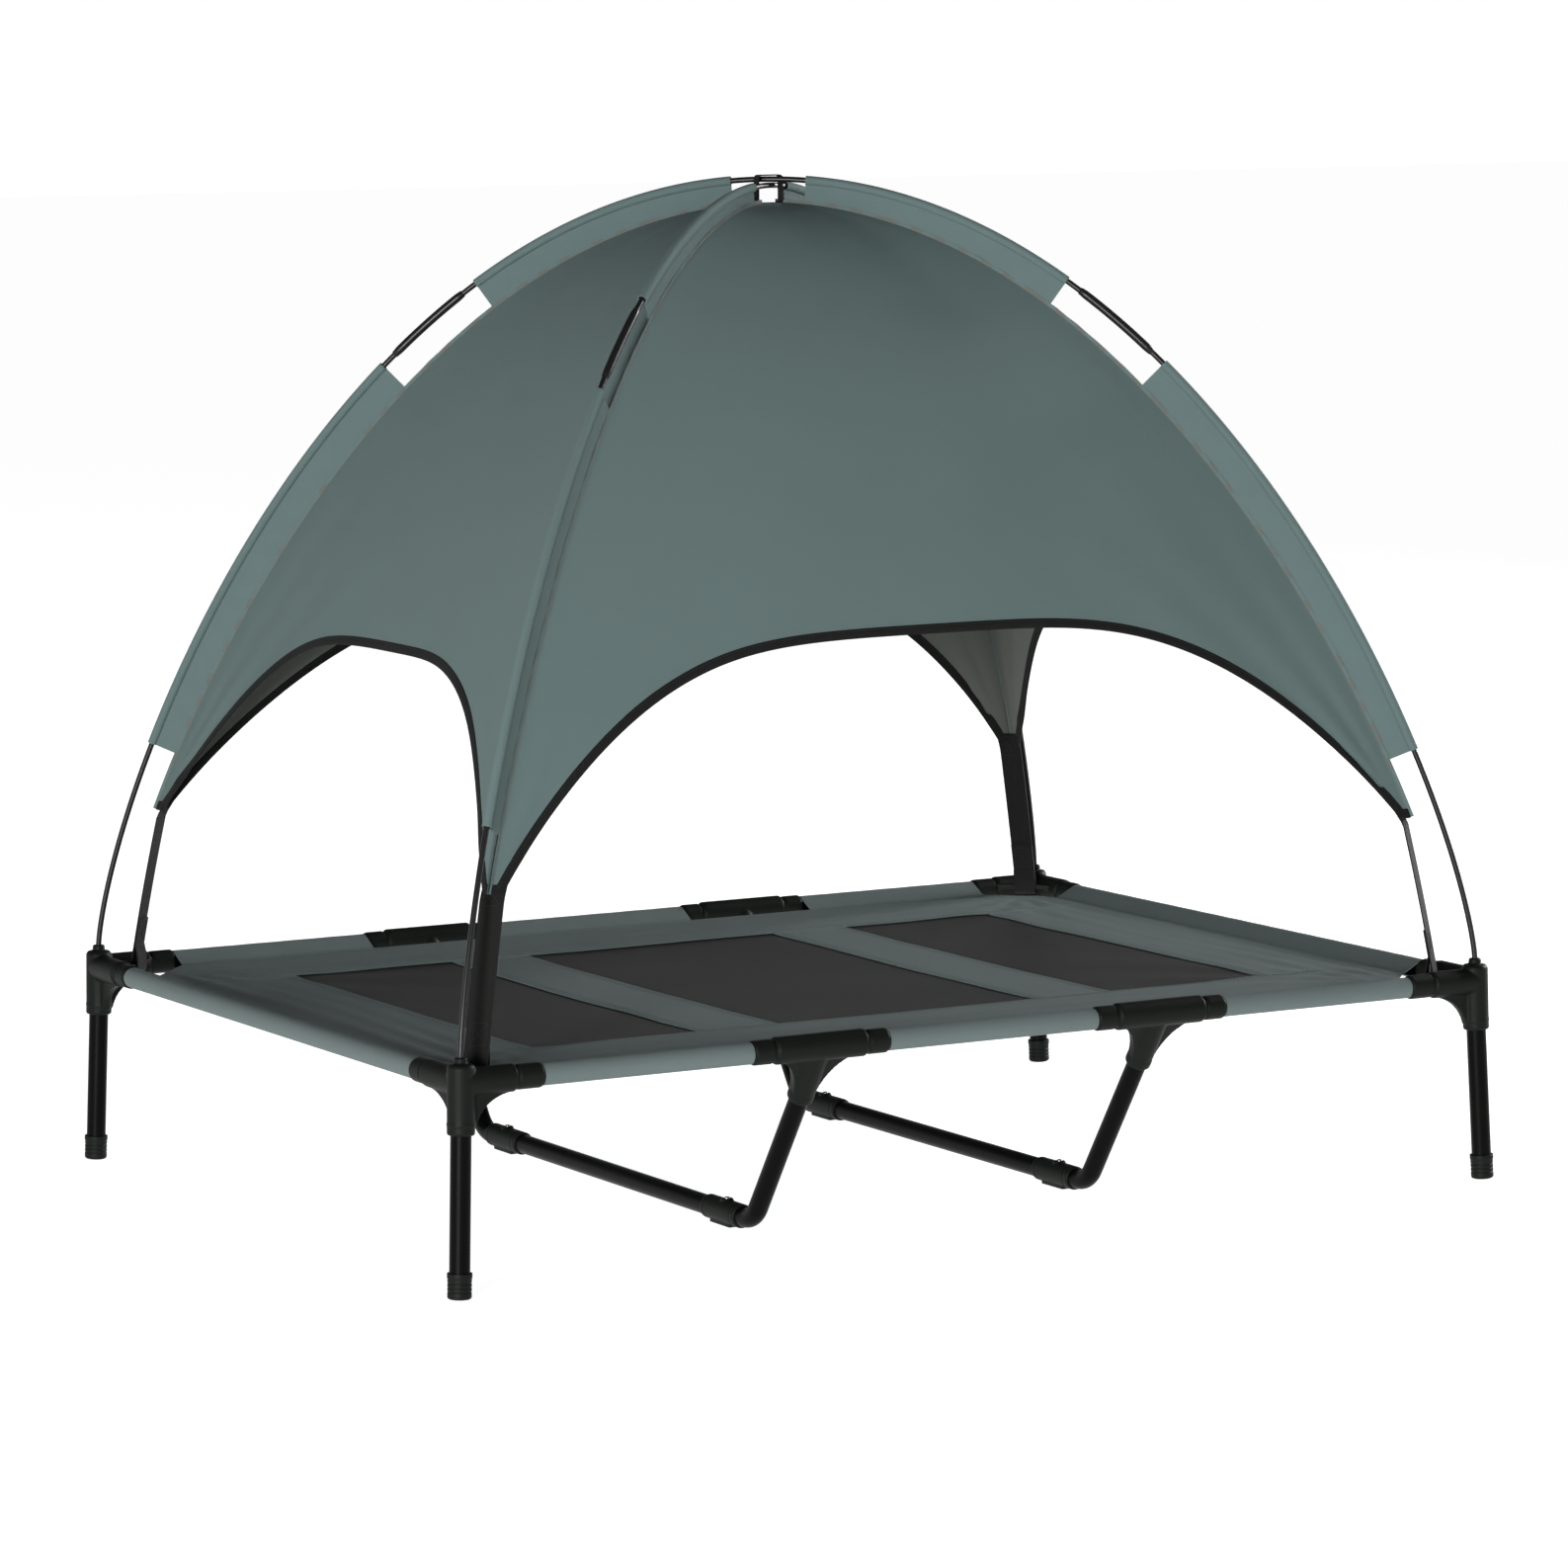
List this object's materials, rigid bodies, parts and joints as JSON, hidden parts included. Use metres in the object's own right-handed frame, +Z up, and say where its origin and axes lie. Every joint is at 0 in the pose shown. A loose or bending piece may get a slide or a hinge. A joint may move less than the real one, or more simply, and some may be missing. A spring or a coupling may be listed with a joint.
{
  "type": "raised dog bed with canopy",
  "caption": "Raised pet bed with a stretched fabric and mesh deck on a knock-down tube frame, shaded by a domed canopy on two crossed poles.",
  "frame": {"origin": "middle of the bed, on the floor", "axes": "+X along the long side, to the right seen from the front; +Y to the back; +Z up"},
  "size_m": [1.2318, 0.9248, 1.065],
  "materials": {
    "powder_coated_steel": "satin black powder coat",
    "black_plastic": "fine-grained moulded plastic",
    "grey_fabric": "grey-green plain weave polyester",
    "black_mesh": "coated open mesh",
    "black_webbing": "flat woven webbing",
    "black_fibreglass": "smooth pultruded rod",
    "button_steel": "plain steel"
  },
  "bodies": {
    "frame": {"leg_tube_fl": "powder_coated_steel", "leg_tube_fr": "powder_coated_steel", "leg_tube_bl": "powder_coated_steel", "leg_tube_br": "powder_coated_steel", "support_leg_fl": "powder_coated_steel", "support_leg_fr": "powder_coated_steel", "support_leg_bl": "powder_coated_steel", "support_leg_br": "powder_coated_steel", "support_bar_left": "powder_coated_steel", "support_bar_right": "powder_coated_steel", "rail_front_left": "powder_coated_steel", "rail_front_middle": "powder_coated_steel", "rail_front_right": "powder_coated_steel", "rail_back_left": "powder_coated_steel", "rail_back_middle": "powder_coated_steel", "rail_back_right": "powder_coated_steel", "rail_left_end": "powder_coated_steel", "rail_right_end": "powder_coated_steel", "corner_connector_fl": "black_plastic", "corner_connector_fr": "black_plastic", "corner_connector_bl": "black_plastic", "corner_connector_br": "black_plastic", "centre_bracket_fl": "black_plastic", "centre_bracket_fr": "black_plastic", "centre_bracket_bl": "black_plastic", "centre_bracket_br": "black_plastic", "foot_cap_fl": "black_plastic", "foot_cap_fr": "black_plastic", "foot_cap_bl": "black_plastic", "foot_cap_br": "black_plastic", "floor_sleeve_fl": "black_plastic", "floor_sleeve_fr": "black_plastic", "floor_sleeve_bl": "black_plastic", "floor_sleeve_br": "black_plastic", "bed_fabric": "grey_fabric", "canopy_front": "grey_fabric", "canopy_back": "grey_fabric", "canopy_left": "grey_fabric", "canopy_right": "grey_fabric", "ridge_sleeve_a": "grey_fabric", "ridge_sleeve_b_left": "grey_fabric", "ridge_sleeve_b_right": "grey_fabric", "mesh_panel_left": "black_mesh", "mesh_panel_middle": "black_mesh", "mesh_panel_right": "black_mesh", "corner_strap_fl": "black_webbing", "corner_strap_fr": "black_webbing", "corner_strap_bl": "black_webbing", "corner_strap_br": "black_webbing", "top_tie": "black_webbing", "pole_a_lower_left": "black_fibreglass", "pole_a_middle": "black_fibreglass", "pole_a_lower_right": "black_fibreglass", "pole_b_lower_left": "black_fibreglass", "pole_b_middle": "black_fibreglass", "pole_b_lower_right": "black_fibreglass"},
    "button_fl": {"snap_button_fl": "button_steel"},
    "button_fr": {"snap_button_fr": "button_steel"},
    "button_bl": {"snap_button_bl": "button_steel"},
    "button_br": {"snap_button_br": "button_steel"}
  },
  "joints": [
    {"name": "button_press_fl", "type": "slide", "parent": "frame", "child": "button_fl", "axis": [0, 0, -1], "range_m": [0, 0.0055], "stiffness_N_per_m": 900, "springref_m": -0.004},
    {"name": "button_press_fr", "type": "slide", "parent": "frame", "child": "button_fr", "axis": [0, 0, -1], "range_m": [0, 0.0055], "stiffness_N_per_m": 900, "springref_m": -0.004},
    {"name": "button_press_bl", "type": "slide", "parent": "frame", "child": "button_bl", "axis": [0, 0, -1], "range_m": [0, 0.0055], "stiffness_N_per_m": 900, "springref_m": -0.004},
    {"name": "button_press_br", "type": "slide", "parent": "frame", "child": "button_br", "axis": [0, 0, -1], "range_m": [0, 0.0055], "stiffness_N_per_m": 900, "springref_m": -0.004}
  ]
}
